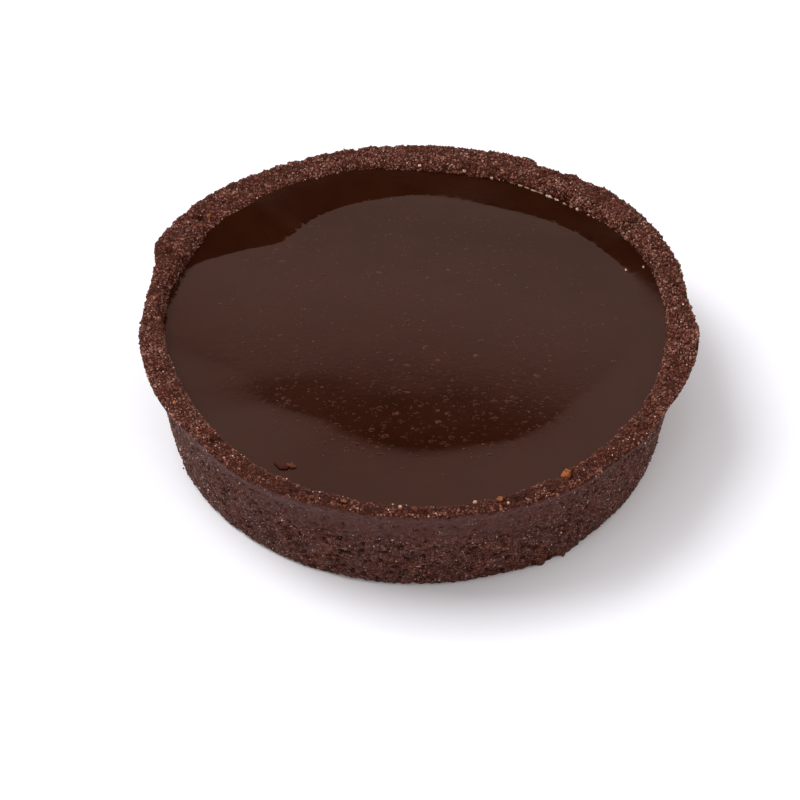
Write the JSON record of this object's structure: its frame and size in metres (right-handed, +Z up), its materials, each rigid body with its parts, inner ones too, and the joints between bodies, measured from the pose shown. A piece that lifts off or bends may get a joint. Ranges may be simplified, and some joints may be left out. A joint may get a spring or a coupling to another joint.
{
  "type": "chocolate tart",
  "caption": "Round individual chocolate tart: a rough-rimmed chocolate shortcrust case filled almost to the top with glossy dark ganache.",
  "frame": {"origin": "centre of the flat base, on the surface the tart stands on", "axes": "+Z up through the middle of the tart; -Y is the side that faces the viewer, +X to the viewer's right"},
  "size_m": [0.0801, 0.08, 0.0183],
  "materials": {
    "chocolate_pastry": "baked chocolate shortcrust: dark reddish brown, matt and sandy, with fine sugary grains",
    "ganache": "set dark chocolate ganache: very dark brown, smooth and softly glossy, with tiny bubbles"
  },
  "bodies": {
    "root": {"pastry_case": "chocolate_pastry", "ganache_filling": "ganache"}
  },
  "joints": []
}
